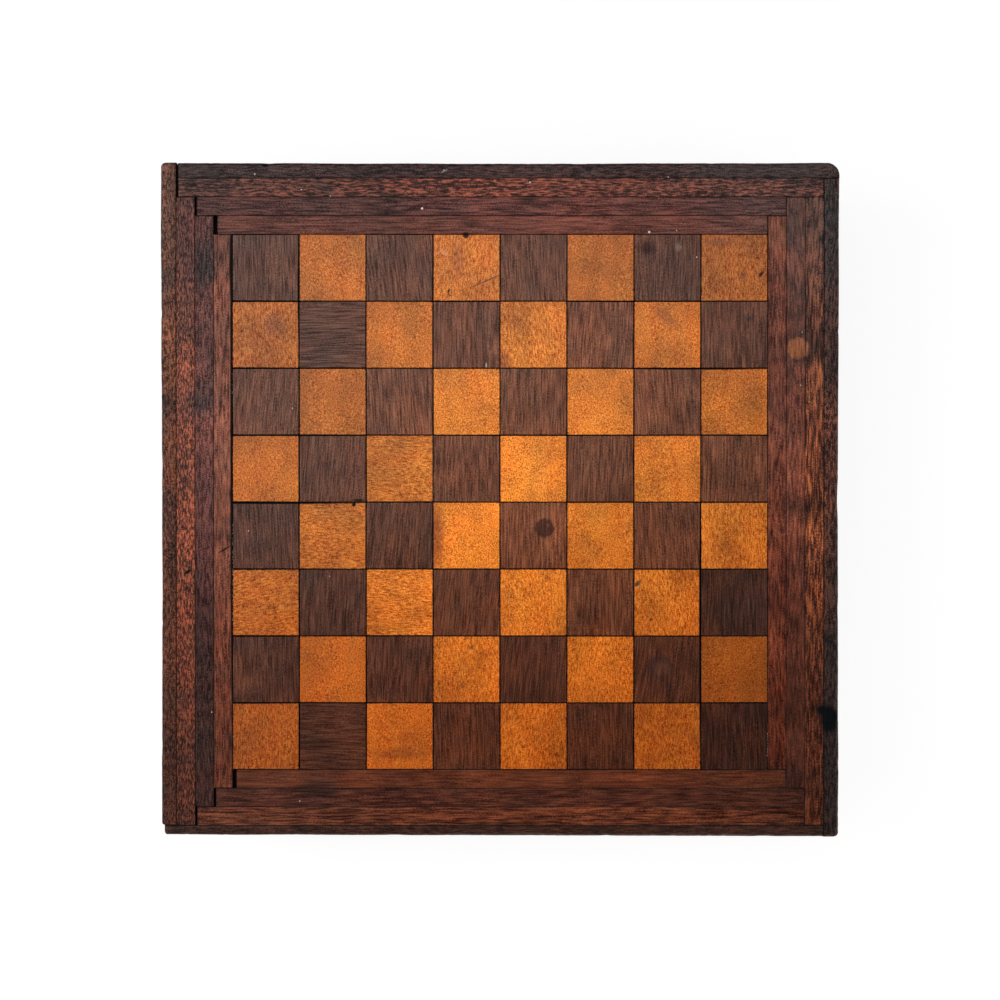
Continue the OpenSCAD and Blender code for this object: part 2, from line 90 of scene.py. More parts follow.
class Graph:
    """The nodes of one material, made by short calls. place is the point shaded, in millimetres."""

    def __init__(self, name):
        self.material = bpy.data.materials.new(name)
        self.material.use_nodes = True
        self.tree = self.material.node_tree
        self.tree.nodes.clear()
        self.place = self.vector("SCALE", self.node("ShaderNodeTexCoord").outputs["Object"], 1 / MM)

    def node(self, kind, inputs=None, **settings):
        made = self.tree.nodes.new(kind)
        for key, value in settings.items():
            setattr(made, key, value)
        for key, value in (inputs or {}).items():
            self.put(made.inputs[key], value)
        return made

    def put(self, socket, value):
        """Links a socket or sets its constant. None leaves it as it is."""
        if isinstance(value, bpy.types.NodeSocket):
            self.tree.links.new(value, socket)
        elif isinstance(value, (tuple, list)) and len(value) == 3 and len(socket.default_value) == 4:
            socket.default_value = (*value, 1.0)
        elif value is not None:
            socket.default_value = value

    def math(self, operation, a, b=None, c=None):
        made = self.node("ShaderNodeMath", operation=operation)
        for socket, value in zip(made.inputs, (a, b, c)):
            self.put(socket, value)
        return made.outputs[0]

    def least(self, *values):
        """The lowest of some numbers."""
        lowest = values[0]
        for value in values[1:]:
            lowest = self.math("MINIMUM", lowest, value)
        return lowest

    def vector(self, operation, a, b=None):
        made = self.node("ShaderNodeVectorMath", operation=operation)
        self.put(made.inputs[0], a)
        if b is not None:
            self.put(made.inputs["Scale"] if operation == "SCALE" else made.inputs[1], b)
        return made.outputs["Value" if operation in ("LENGTH", "DISTANCE") else "Vector"]

    def split(self, vector):
        return self.node("ShaderNodeSeparateXYZ", {0: vector}).outputs

    def join(self, x, y, z):
        return self.node("ShaderNodeCombineXYZ", {0: x, 1: y, 2: z}).outputs[0]

    def turned(self, vector, angle):
        """The vector turned round Z by an angle in radians."""
        inputs = {"Vector": vector, "Angle": angle}
        return self.node("ShaderNodeVectorRotate", inputs, rotation_type="Z_AXIS").outputs[0]

    def noise(self, vector, scale=1.0, detail=2.0, roughness=0.5):
        inputs = {"Vector": vector, "Scale": scale, "Detail": detail, "Roughness": roughness}
        return self.node("ShaderNodeTexNoise", inputs).outputs["Fac"]

    def swing(self, vector, amount, base=0.0, scale=1.0, detail=3.0):
        """A noise that swings about base, mostly by less than a quarter of amount."""
        middle = self.math("SUBTRACT", self.noise(vector, scale, detail), 0.5)
        return self.math("MULTIPLY_ADD", middle, amount, base)

    def smooth(self, value, low, high, out_low=0.0, out_high=1.0):
        """value carried smoothly from low..high to out_low..out_high."""
        inputs = {"Value": value, "From Min": low, "From Max": high, "To Min": out_low, "To Max": out_high}
        return self.node("ShaderNodeMapRange", inputs, interpolation_type="SMOOTHSTEP").outputs["Result"]

    def between(self, factor, a, b):
        """The number that is a share of the way from a to b."""
        return self.node("ShaderNodeMix", {0: factor, 2: a, 3: b}, data_type="FLOAT").outputs[0]

    def mix(self, factor, a, b, blend="MIX"):
        """The colour that is a share of the way from a to b, or a blended with b."""
        made = self.node("ShaderNodeMix", data_type="RGBA", blend_type=blend)
        for place, value in ((0, factor), (6, a), (7, b)):
            self.put(made.inputs[place], value)
        return made.outputs[2]

    def tinted(self, colour, tint):
        """A colour multiplied by another."""
        return self.mix(1.0, colour, tint, "MULTIPLY")

    def times(self, colour, factor):
        """A colour made brighter or darker by a number."""
        return self.tinted(colour, self.join(factor, factor, factor))

    def ramp(self, factor, *stops):
        """A colour ramp through (place, colour) stops."""
        made = self.node("ShaderNodeValToRGB", {"Fac": factor})
        elements = made.color_ramp.elements
        while len(elements) < len(stops):
            elements.new(0.5)
        for element, (place, colour) in zip(elements, stops):
            element.position = place
            element.color = (*colour, 1.0)
        return made.outputs["Color"]

    def finish(self, colour, roughness, height, bump, metallic=0.0, specular=0.4, polish=0.0, gloss=0.0):
        """The surface: a plain shader whose constants are set on its own sockets. bump is in millimetres.
        polish is how much of it still has its coat, and gloss that coat's roughness."""
        relief = self.node("ShaderNodeBump", {"Height": height, "Strength": 1.0, "Distance": bump * MM})
        normal = relief.outputs[0]
        inputs = {
            "Base Color": colour, "Metallic": metallic, "Roughness": roughness,
            "Specular IOR Level": specular, "Coat Weight": polish, "Coat Roughness": gloss,
            "Normal": normal, "Coat Normal": normal,
        }
        shader = self.node("ShaderNodeBsdfPrincipled", inputs)
        self.node("ShaderNodeOutputMaterial", {"Surface": shader.outputs[0]})
        return self.material


# -------- marks of age on the board, with two painted sheens, in millimetres

DIRT = (0.006, 0.005, 0.004)
BARE_WOOD = (0.2, 0.055, 0.018)
# what it is: (the woods it lies on, centre, half width and half height where it has half its strength,
# softness, strength, colour)
MARKS = {
    "ink_blot": ("dark", (25.2, -16.0), (5.5, 5.5), 0.14, 0.86, (0.046, 0.02, 0.015)),
    "blot_heart": ("dark", (26.2, -14.9), (4.0, 4.2), 0.4, 0.45, (0.082, 0.026, 0.014)),
    "fleck_in_blot": ("dark", (27.2, -14.3), (0.5, 0.9), 0.6, 0.45, (0.25, 0.12, 0.08)),
    "dark_top": ("right_outer", (178.5, 150.0), (9.0, 26.0), 0.8, 0.45, (0.035, 0.013, 0.01)),
    "dark_patch": ("right_middle right_outer", (177.0, 90.5), (7.5, 9.0), 0.6, 0.45, (0.048, 0.012, 0.007)),
    "low_patch": ("right_middle right_outer", (172.0, -120.0), (16.0, 70.0), 0.5, 0.45, (0.04, 0.01, 0.005)),
    "tan_halo": ("right_middle right_outer", (170.6, 86.6), (8.2, 8.2), 0.5, 0.6, (0.028, 0.01, 0.008)),
    "tan_round": ("right_middle right_outer", (168.9, 86.1), (6.2, 5.9), 0.2, 0.66, (0.36, 0.112, 0.036)),
    "black_top": ("right_lipping", (189.0, 125.0), (8.0, 62.0), 0.5, 0.55, (0.012, 0.009, 0.01)),
    "black_foot": ("right_lipping", (189.0, -125.0), (8.0, 82.0), 0.5, 0.55, (0.01, 0.006, 0.005)),
    # painted reflection: a grey haze of the shellac's sheen near the back right corner
    "back_painted_sheen": ("back_lipping back_outer back_middle back_inner right_lipping right_outer right_middle",
                  (190.0, 188.0), (72.0, 60.0), 0.8, 0.19, (0.095, 0.092, 0.09)),
    # painted reflection: a grey haze of the shellac's sheen at the back end of the left lipping
    "left_painted_sheen": ("left_lipping", (-188.0, 162.0), (12.0, 55.0), 0.7, 0.16, (0.13, 0.11, 0.1)),
    "pale_end": ("right_inner", (157.5, 151.0), (7.0, 9.0), 0.5, 0.5, (0.28, 0.09, 0.046)),
    "dark_head": ("left_outer", (-178.0, 165.0), (16.0, 60.0), 0.5, 0.6, (0.036, 0.003, 0.003)),
    "dark_foot": ("left_lipping left_outer left_middle", (-180.0, -160.0), (22.0, 70.0), 0.6, 0.5,
                  (0.032, 0.011, 0.006)),
    "dark_end": ("back_outer back_lipping", (-170.0, 180.0), (42.0, 14.0), 0.6, 0.5, (0.022, 0.009, 0.008)),
    "nail_hole": ("back_lipping", (-133.2, 189.8), (1.8, 0.8), 0.4, 0.97, (0.002, 0.002, 0.002)),
    "dark_round": ("light back_inner", (-19.4, 150.3), (1.9, 1.9), 0.3, 0.95, (0.02, 0.012, 0.01)),
    "top_stain": ("dark", (83.3, 142.9), (4.0, 4.4), 0.7, 0.86, (0.048, 0.023, 0.022)),
    "stain_heart": ("dark", (84.4, 141.8), (2.0, 1.8), 1.0, 0.75, (0.03, 0.015, 0.016)),
    "pale_smudge": ("dark", (101.4, 143.6), (1.4, 2.0), 1.0, 0.6, (0.27, 0.18, 0.14)),
    "grey_corner": ("dark", (141.1, 103.0), (2.6, 2.2), 0.9, 0.8, (0.022, 0.01, 0.006)),
    "brown_top": ("light", (124.6, 146.0), (6.6, 2.1), 0.8, 0.6, (0.19, 0.048, 0.016)),
    "curl": ("light", (138.1, 127.2), (1.0, 2.8), 0.8, 0.65, (0.13, 0.034, 0.012)),
    "brown_streak": ("light", (-23.4, 137.5), (3.4, 8.0), 1.0, 0.52, (0.25, 0.05, 0.012)),
    "burn": ("right_lipping right_outer", (187.0, -124.6), (4.8, 8.4), 0.4, 1.0, (0.002, 0.003, 0.004)),
    "burn_lobe": ("right_lipping right_outer", (183.2, -119.4), (3.0, 3.4), 0.5, 1.0, (0.002, 0.003, 0.004)),
    "paint_spot": ("light", (77.9, -47.8), (1.3, 1.1), 0.7, 0.84, (0.04, 0.024, 0.015)),
    "paint_speck": ("light", (85.7, -68.0), (0.85, 0.9), 0.6, 0.9, (0.04, 0.015, 0.01)),
    "speck_tail": ("light", (86.1, -64.1), (1.6, 1.0), 0.9, 0.4, (0.2, 0.07, 0.02)),
    "faint_round": ("dark", (91.4, -95.1), (6.9, 6.9), 0.22, 0.82, (0.036, 0.011, 0.008)),
    "round_heart": ("dark", (92.0, -95.9), (3.9, 3.9), 0.6, 0.8, (0.11, 0.031, 0.013)),
    "grey_smudge": ("light", (4.9, -54.7), (3.4, 3.9), 1.0, 0.3, (0.17, 0.06, 0.01)),
    "brown_margin": ("light", (-36.8, -18.5), (4.2, 15.5), 0.9, 0.8, (0.22, 0.04, 0.006)),
    "edge_hole": ("light", (-83.0, -2.6), (1.15, 1.05), 0.3, 1.0, (0.006, 0.005, 0.005)),
    "brown_corner": ("light", (2.6, 76.8), (3.4, 5.8), 0.9, 0.7, (0.2, 0.038, 0.006)),
    "specks_a": ("light", (-15.6, -83.6), (1.1, 1.3), 0.9, 0.6, (0.1, 0.035, 0.012)),
    "specks_b": ("light", (-21.3, -105.2), (1.0, 1.4), 0.9, 0.6, (0.1, 0.035, 0.012)),
    "low_smudge": ("light", (-57.5, -144.2), (15.0, 3.2), 0.9, 0.55, (0.14, 0.026, 0.004)),
    "brown_cloud": ("light", (-128.2, 99.8), (5.2, 5.8), 1.0, 0.62, (0.15, 0.046, 0.018)),
    "pin_hole": ("light", (-146.7, 95.8), (0.7, 0.6), 0.7, 0.95, (0.015, 0.008, 0.006)),
    "right_smudge": ("dark", (141.0, -60.0), (14.0, 14.0), 1.0, 0.3, (0.02, 0.012, 0.01)),
    "front_stain": ("front_inner front_middle", (-104.0, -163.0), (10.0, 7.0), 0.6, 0.5, (0.03, 0.012, 0.01)),
    "edge_stain": ("left_inner", (-153.4, -134.6), (1.9, 3.2), 0.8, 0.7, (0.03, 0.012, 0.01)),
    "dark_middle": ("left_lipping", (-188.0, -8.0), (7.0, 17.0), 0.3, 0.45, (0.03, 0.012, 0.01)),
}
# long scratches: (the woods, one end, the other end, half width, strength, colour)
SCRATCHES = {
    "long_scratch": ("light dark", (-19.6, 119.3), (4.6, 129.7), 0.6, 0.84, (0.085, 0.026, 0.01)),
    "tick": ("light", (-28.4, 120.5), (-29.8, 116.4), 0.85, 0.9, (0.03, 0.01, 0.008)),
    "tick_foot": ("light", (-30.2, 117.2), (-27.2, 115.4), 0.75, 0.8, (0.045, 0.014, 0.009)),
    "paint_stroke": ("light", (75.6, -49.8), (81.2, -44.4), 1.4, 0.8, (0.075, 0.035, 0.016)),
    "scuff": ("light", (-35.2, 144.0), (-28.8, 137.2), 1.1, 0.4, (0.62, 0.38, 0.26)),
    "back_scuff": ("back_lipping", (-34.2, 185.2), (-29.0, 188.0), 0.7, 0.55, (0.3, 0.25, 0.22)),
    "white_tick": ("dark", (-7.8, 78.6), (-7.8, 73.8), 0.55, 0.7, (0.6, 0.5, 0.42)),
    "fleck": ("light", (146.2, 126.3), (150.3, 130.4), 1.25, 0.9, (0.026, 0.011, 0.009)),
    "knotty_streak": ("light", (84.5, 112.0), (104.5, 95.4), 4.2, 0.5, (0.26, 0.06, 0.012)),
    "pale_scratch": ("light", (-10.6, 77.5), (-4.6, 75.5), 0.45, 0.8, (0.8, 0.42, 0.16)),
    "field_joint": ("left_inner", (-152.4, 240.0), (-152.4, -200.0), 1.05, 1.0, DIRT),
    "field_joint_head": ("left_inner", (-152.2, 168.0), (-152.2, 100.0), 1.9, 1.0, DIRT),
    "last_file_joint": ("light dark", (113.6, 25.0), (113.6, -165.0), 0.8, 1.0, DIRT),
    "third_row_joint": ("light dark", (55.0, 74.5), (165.0, 74.5), 0.8, 1.0, DIRT),
    "fourth_row_joint": ("light dark", (-160.0, 36.8), (-60.0, 36.8), 0.8, 1.0, DIRT),
    "first_file_joint": ("light dark", (-114.3, 160.0), (-114.3, 80.0), 0.8, 1.0, DIRT),
    "middle_row_joint": ("light dark", (-190.0, -1.7), (-66.0, -1.7), 0.9, 1.0, DIRT),
    "chipped_edge": ("dark", (-84.8, 0.0), (-76.0, -0.3), 1.0, 0.9, (0.01, 0.007, 0.006)),
    "strip_chip": ("left_outer", (-179.8, -42.4), (-174.9, -39.3), 1.45, 1.0, (0.007, 0.006, 0.006)),
    "strip_scratch": ("left_inner", (-161.3, -30.9), (-151.8, -25.3), 0.75, 0.9, (0.014, 0.007, 0.006)),
    "lipping_scratch": ("left_lipping", (-187.8, -34.2), (-182.4, -30.0), 0.7, 0.88, (0.012, 0.008, 0.006)),
    "lipping_crack": ("left_lipping", (-191.4, -30.6), (-186.2, -34.0), 0.65, 0.86, (0.012, 0.008, 0.006)),
}
# specks of pale dust and paint: (x, y, radius)
DUST = (
    (-44.2, 165.4, 0.85), (84.6, 152.0, 0.9), (17.0, 180.2, 0.6), (-96.2, 172.4, 0.45), (-139.1, 184.9, 0.5),
    (111.6, 137.8, 0.45), (95.4, 183.2, 0.4), (-163.8, -120.5, 0.4), (170.7, 65.1, 0.4),
    (-112.7, 176.1, 0.45), (100.2, 152.9, 0.4), (-117.8, 52.1, 0.4), (171.5, 95.2, 0.35),
    (-142.8, -17.5, 0.4), (-113.8, -171.1, 0.4), (-96.8, -43.3, 0.35), (-31.8, 187.2, 0.35),
)
FRAY, FRAY_MOST = 0.12, 1.0  # how far a mark's outline wanders, as a share of its half width, and at most
OUTLINE_SWING, OUTLINE_WAVES = 4.0, 0.45
APART = 90.0  # places this far apart share nothing in a noise
SCRATCH_CORE = 0.4  # the share of a scratch's half width that has its full strength
DUST_COLOUR, DUST_CORE = (0.75, 0.66, 0.56), 0.4
DULL_FROM = 0.85  # a mark at least this strong has lost its shine


def blots(g, flat, texture, wood_name):
    """The marks on this wood, as (cover, strength, colour). The wood's texture shows through them."""
    samples = [g.vector("ADD", g.place, (shift, 0.0, 0.0)) for shift in (0.0, APART)]
    wander = g.join(*[g.swing(sample, OUTLINE_SWING, scale=OUTLINE_WAVES) for sample in samples], 0.0)
    found = []
    for woods, centre, reach, softness, strength, tint in MARKS.values():
        if wood_name in woods.split():
            fray = g.vector("SCALE", wander, min(FRAY_MOST, FRAY * min(reach)))
            from_centre = g.vector("SUBTRACT", g.vector("ADD", flat, fray), (*centre, 0.0))
            distance = g.vector("LENGTH", g.vector("DIVIDE", from_centre, (*reach, 1.0)))
            cover = g.smooth(distance, 1.0 + softness, 1.0 - softness, 0.0, strength)
            found.append((cover, strength, g.times(tint, texture)))
    return found


def scratches(g, flat, wood_name):
    """The scratches on this wood, as (cover, strength, colour)."""
    found = []
    for woods, start, end, half_width, strength, tint in SCRATCHES.values():
        if wood_name in woods.split():
            run = Vector(end) - Vector(start)
            middle = (Vector(start) + Vector(end)) / 2
            from_middle = g.vector("SUBTRACT", flat, (*middle, 0.0))
            from_middle = g.turned(from_middle, -math.atan2(run.y, run.x))
            distance = g.vector("LENGTH", g.vector("DIVIDE", from_middle, (run.length / 2, half_width, 1.0)))
            found.append((g.smooth(distance, 1.0, SCRATCH_CORE, 0.0, strength), strength, tint))
    return found


# -------- woods

# Painted shade: the board is darker and redder towards the front, and darker still at the front right corner
FRONT_SHADE_TINT, FRONT_SHADE_FROM, FRONT_SHADE_TO = (1.0, 0.83, 0.65), 20.0, -150.0
SHADED_CORNER_AT, SHADED_CORNER_REACH, SHADED_CORNER_SHARE = (185.0, -175.0, 80.0), 110.0, 0.75
# Squares laid with their grain across the board: (file, rank), counted from the near left corner
CROSS_LAID = {"dark": ((2, 7), (2, 1)), "light": ((2, 4), (1, 3), (3, 3), (3, 5))}
# Squares cut from darker or paler stuff than the rest: (file, rank, share of light kept)
ODD_CUT = {
    "dark": ((8, 3, 0.6), (8, 1, 0.6), (1, 4, 0.8), (2, 3, 0.72), (5, 2, 0.8), (5, 4, 1.3), (7, 6, 1.3),
             (1, 6, 1.35), (8, 5, 1.35), (6, 7, 1.25), (2, 7, 0.84), (3, 6, 1.28), (3, 4, 0.74), (6, 3, 1.32),
             (7, 4, 1.18), (8, 7, 1.1)),
    "light": ((8, 2, 0.64), (8, 8, 0.82), (1, 7, 0.8), (2, 6, 0.77), (3, 5, 0.82), (2, 4, 0.9), (1, 1, 0.8),
              (7, 1, 0.8), (4, 4, 1.1), (4, 8, 1.12), (3, 3, 1.09), (6, 2, 1.17), (8, 4, 1.1), (8, 6, 1.07)),
}


class Look:
    """What one wood looks like: its three colours, and what differs from the values below. A layer of grain
    is in waves per millimetre across and along it, then how strongly it shows. Lengths are in mm."""

    fibre = (1.15, 0.11, 1.0)
    curl = None  # waves of the fibres where they are curled, as in some squares
    pores = (1.3, 0.2, 0.0)
    pores_from = 0.52  # the noise from which there is a pore
    grit, bands, clouds = 0.5, 0.3, 0.6
    slant, tone = 0.0, 0.0  # how squares differ: degrees from end to end, and share of light
    lit_at, lit_reach = (10.0, 6.0, 80.0), 85.0  # where the painted pool of light makes the board palest, and how far it reaches
    rubbed = (20.0, 95.0)  # the same painted light along a strip: its place and reach
    centre, rim = (1.35, 1.35, 1.3), (1, 1, 1)  # the tints of the painted light there and far away
    arris = None  # how the arris is covered, and with what colour: BARE_WOOD where it is rubbed, DIRT for dirt with painted shade
    dirt = (0.35, 0.55)  # how far the dirt on long edges reaches, and its share
    gloss, specular = 0.3, 0.34  # the shellac's roughness, and how much it reflects

    def __init__(self, deep, middle, pale, **own):
        self.colours = (deep, middle, pale)
        for name, value in own.items():
            setattr(self, name, value)


LOOKS = {
    "light": Look(
        (0.16, 0.026, 0.001), (0.46, 0.118, 0.006), (0.74, 0.25, 0.026), fibre=(1.4, 0.36, 0.44),
        pores=(1.4, 0.6, 0.36), pores_from=0.64, curl=(1.4, 0.8), grit=0.47, bands=0.12, slant=16.0,
        tone=0.08, lit_reach=88.0, centre=(1.93, 1.98, 1.8), rim=(0.88, 0.78, 0.7), specular=0.4),
    "dark": Look(
        (0.026, 0.008, 0.004), (0.085, 0.026, 0.011), (0.17, 0.058, 0.026), fibre=(1.5, 0.08, 0.55),
        pores=(1.5, 0.22, 0.23), grit=0.41, bands=0.12, clouds=0.75, slant=12.0, tone=0.08,
        lit_at=(22.0, 45.0, 80.0), lit_reach=100.0, centre=(2.0, 1.72, 1.18), rim=(0.78, 0.66, 0.54),
        specular=0.42),
    "left_outer": Look(
        (0.02, 0.005, 0.004), (0.105, 0.022, 0.008), (0.34, 0.07, 0.016), fibre=(1.5, 0.35, 0.8),
        pores=(1.8, 0.6, 0.8), pores_from=0.5, clouds=1.0, grit=0.44, rubbed=(-40.0, 100.0),
        centre=(1.5, 1.45, 1.4), rim=(0.93, 0.9, 0.9)),
    "back_outer": Look(
        (0.014, 0.005, 0.003), (0.066, 0.013, 0.007), (0.23, 0.048, 0.016), fibre=(1.1, 0.22, 0.87),
        pores=(1.7, 0.45, 0.8), clouds=1.0, grit=0.48, centre=(1.65, 1.5, 1.4), specular=0.32),
    "right_outer": Look(
        (0.016, 0.005, 0.004), (0.08, 0.02, 0.009), (0.27, 0.072, 0.022), fibre=(1.1, 0.12, 0.72),
        pores=(1.6, 0.12, 0.62), bands=0.4, clouds=1.3, grit=0.56, rubbed=(-10.0, 100.0),
        centre=(1.75, 1.7, 1.5), rim=(0.85, 0.85, 0.8)),
    "front_outer": Look(
        (0.018, 0.005, 0.004), (0.088, 0.024, 0.011), (0.21, 0.06, 0.025), fibre=(1.1, 0.1, 0.65),
        pores=(1.6, 0.12, 0.42), bands=0.4, clouds=0.7, grit=0.42, centre=(1.25, 1.25, 1.3),
        rim=(1.05, 1.08, 1.2)),
    "left_middle": Look(
        (0.014, 0.004, 0.003), (0.048, 0.012, 0.009), (0.1, 0.028, 0.017), fibre=(1.1, 0.18, 0.73),
        pores=(1.4, 0.3, 0.3), clouds=1.6, grit=0.8, rubbed=(45.0, 70.0), centre=(2.35, 2.1, 2.1),
        rim=(0.58, 0.46, 0.51), specular=0.3),
    "back_middle": Look(
        (0.014, 0.004, 0.003), (0.054, 0.01, 0.007), (0.12, 0.026, 0.015), fibre=(1.15, 0.1, 0.67),
        pores=(1.3, 0.15, 0.2), clouds=0.8, grit=0.6, rubbed=(40.0, 100.0), centre=(1.8, 1.7, 1.5),
        rim=(0.85, 0.85, 0.85), specular=0.31),
    "right_middle": Look(
        (0.02, 0.006, 0.005), (0.082, 0.022, 0.012), (0.18, 0.05, 0.027), fibre=(1.1, 0.12, 0.5),
        pores=(1.3, 0.2, 0.18), clouds=1.5, grit=0.42, rubbed=(10.0, 95.0), centre=(1.9, 1.8, 1.65),
        rim=(0.73, 0.7, 0.66)),
    "front_middle": Look(
        (0.018, 0.005, 0.004), (0.058, 0.0168, 0.0108), (0.118, 0.038, 0.021), fibre=(1.1, 0.1, 0.55),
        pores=(1.3, 0.15, 0.2), grit=0.42, rubbed=(40.0, 120.0)),
    "left_inner": Look(
        (0.035, 0.009, 0.005), (0.135, 0.034, 0.015), (0.25, 0.07, 0.03), fibre=(1.15, 0.12, 0.6),
        pores=(1.3, 0.2, 0.25), clouds=1.0, grit=0.55, rubbed=(45.0, 110.0), centre=(1.5, 1.52, 1.62),
        rim=(0.74, 0.69, 0.65)),
    "back_inner": Look(
        (0.028, 0.007, 0.005), (0.088, 0.019, 0.01), (0.17, 0.042, 0.02), fibre=(1.15, 0.08, 0.54),
        pores=(1.3, 0.15, 0.15), grit=0.47, rubbed=(50.0, 110.0), centre=(1.55, 1.4, 1.3), specular=0.32),
    "right_inner": Look(
        (0.026, 0.006, 0.005), (0.092, 0.02, 0.01), (0.19, 0.048, 0.022), fibre=(1.1, 0.12, 0.6),
        pores=(1.1, 0.2, 0.3), clouds=1.2, rubbed=(60.0, 150.0), centre=(1.42, 1.5, 1.45),
        rim=(0.8, 0.68, 0.55), specular=0.31),
    "front_inner": Look(
        (0.024, 0.006, 0.004), (0.094, 0.024, 0.01), (0.18, 0.052, 0.022), fibre=(1.0, 0.08, 0.37),
        pores=(1.2, 0.15, 0.16), clouds=0.7, grit=0.3, centre=(1.27, 1.3, 1.35), rim=(1.0, 1.08, 1.15)),
    # its outer arris is darkened with dirt and painted shade
    "left_lipping": Look(
        (0.018, 0.005, 0.003), (0.074, 0.021, 0.008), (0.17, 0.052, 0.02), fibre=(1.1, 0.3, 0.72),
        pores=(1.2, 0.5, 0.43), clouds=1.7, grit=0.8, rubbed=(85.0, 110.0), centre=(1.52, 1.48, 1.5),
        rim=(0.87, 0.72, 0.64), arris=(0.85, DIRT), dirt=(0.7, 0.8), gloss=0.5, specular=0.22),
    "back_lipping": Look(
        (0.006, 0.002, 0.002), (0.023, 0.006, 0.005), (0.06, 0.016, 0.012), fibre=(1.1, 0.2, 0.68),
        pores=(1.4, 0.3, 0.28), clouds=0.8, grit=0.72, arris=(0.1, BARE_WOOD), dirt=(0.6, 0.7), gloss=0.36,
        specular=0.31),
    "right_lipping": Look(
        (0.008, 0.003, 0.003), (0.036, 0.012, 0.008), (0.11, 0.034, 0.018), fibre=(1.1, 0.22, 0.8),
        pores=(1.2, 0.4, 0.45), clouds=1.6, grit=0.8, rubbed=(30.0, 70.0), centre=(2.3, 2.1, 1.8),
        rim=(0.75, 0.75, 0.75), arris=(0.6, BARE_WOOD), dirt=(0.8, 0.9), gloss=0.45, specular=0.26),
    "front_lipping": Look(
        (0.009, 0.003, 0.002), (0.033, 0.011, 0.006), (0.08, 0.028, 0.016), fibre=(1.1, 0.2, 0.46),
        pores=(1.3, 0.3, 0.25), clouds=0.8, grit=0.45, rubbed=(40.0, 120.0), centre=(1.2, 1.2, 1.2),
        rim=(0.92, 0.95, 1.0), arris=(0.2, BARE_WOOD), dirt=(0.7, 0.8), gloss=0.42, specular=0.24),
    "case": Look(
        (0.026, 0.007, 0.004), (0.092, 0.023, 0.01), (0.17, 0.048, 0.019), fibre=(1.0, 0.03, 0.7),
        pores=(1.2, 0.08, 0.35), bands=0.6, centre=(1, 1, 1), gloss=0.38, specular=0.24),
    "inside": Look(
        (0.16, 0.085, 0.04), (0.33, 0.19, 0.095), (0.46, 0.29, 0.16), fibre=(0.8, 0.02, 0.7),
        pores=(1.3, 0.1, 0.4), bands=0.7, clouds=0.3, grit=0.3, centre=(1, 1, 1), gloss=0.7, specular=0.24),
}
AXIS = {"x": 0, "y": 1}
# how the layers of grain lie, in waves per millimetre, and how far one that shows fully swings
SEED_STEP = (37.0, 53.0, 71.0)
SQUARE_STEP = 700.0
WANDER, WANDER_WAVES = 3.0, (0.04, 0.012)
GRAIN_SWING, SOFT_SWING = 2.4, 2.0
GRIT_WAVES = 1.6
BAND_WAVES = (0.16, 0.014)
CLOUD_WAVES = 0.045
CURLY_FROM, CURLY_TO = 0.25, 0.75
PORE_EDGE, PORE_DARKNESS, PORE_AMENDS, PORE_DEPTH = 0.12, 0.45, 0.1, 0.6
# how fast the painted pool of light falls off
LIT_FALL = 1.3
# the hue drifts slowly between two tints
DRIFT_WAVES, COOL, WARM = (0.11, 0.03), (0.84, 1.03, 1.12), (1.18, 0.97, 0.85)
TEXTURE_SHARE, TEXTURE_BASE = 0.9, 0.55  # how the grain shows through a mark
# dirt in the joints and along the strips, and painted shade beside the joints
JOINT_HALF = 0.35
JOINT_RAGGED, JOINT_WAVES = 0.9, 0.9
JOINT_DIRT = (0.06, -0.1)  # on the squares' edges: where it is gone, and where it is full
# painted shade beside the joints: the share of colour kept at the edge, and how far it reaches
JOINT_SHADE, JOINT_SHADE_REACH = 0.95, 1.2
DIRTIER_FROM, DIRTIER_TO, DIRTIER_BY = -100.0, -150.0, 0.22  # towards the left the joints are dirtier
STRIP_RAGGED, STRIP_WAVES = 1.0, 0.5
END_DIRT = (0.7, 0.85)  # how far the dirt at a strip's ends reaches, and its share
DIRT_CORE = 0.2
# rubbed arrises of the lippings, one also darkened with painted shade, and edges of the panels
ARRIS_REACH, ARRIS_CORE, ARRIS_DROP = 1.3, 0.3, 1.0
ARRIS_RAGGED, ARRIS_WAVES = 2.4, 0.3
PANEL_REACH, PANEL_CORE, PANEL_PALED = 2.2, 0.1, 1.55
PANEL_RAGGED, PANEL_WAVES = 3.0, 0.25
# the shellac
GLOSS_SWING, GLOSS_WAVES, DULL_ROUGHNESS = 0.35, 0.08, 0.95
POLISH_IN_PORES, POLISH_IN_PALE = 0.9, 2.2  # pores shine less than pale grain
BARE_SPECULAR = 0.10
GRAIN_RELIEF = 0.03


def cell_of(g):
    """The square that a point lies in, as whole numbers, and how far it is from that square's edge."""
    steps, margins = [], []
    for axis in (0, 1):
        count = g.math("DIVIDE", g.math("SUBTRACT", g.split(g.place)[axis], FIELD_LOW[axis]), PITCH[axis])
        steps.append(g.math("FLOOR", count))
        part = g.math("FRACT", count)
        margins.append(g.math("MULTIPLY", g.least(part, g.math("SUBTRACT", 1.0, part)), PITCH[axis]))
    return steps, g.least(*margins)


def is_cell(g, cell, file, rank):
    """1 in that square, 0 elsewhere."""
    same_file = g.math("COMPARE", cell[0], file - 1.0, 0.5)
    same_rank = g.math("COMPARE", cell[1], rank - 1.0, 0.5)
    return g.math("MULTIPLY", same_file, same_rank)


def gaps_to(g, low, high):
    """How far a point in a box is from the box's nearer side along X, Y and Z."""
    gaps = []
    for value, near, far in zip(g.split(g.place), low, high):
        gaps.append(g.least(g.math("SUBTRACT", value, near), g.math("SUBTRACT", far, value)))
    return gaps


def edge_gap(g, low, high):
    """How far a point on a box's skin is from the nearest edge: the middle one of its three gaps."""
    x, y, z = gaps_to(g, low, high)
    larger = [g.math("MAXIMUM", *pair) for pair in ((x, y), (y, z), (z, x))]
    return g.least(*larger)


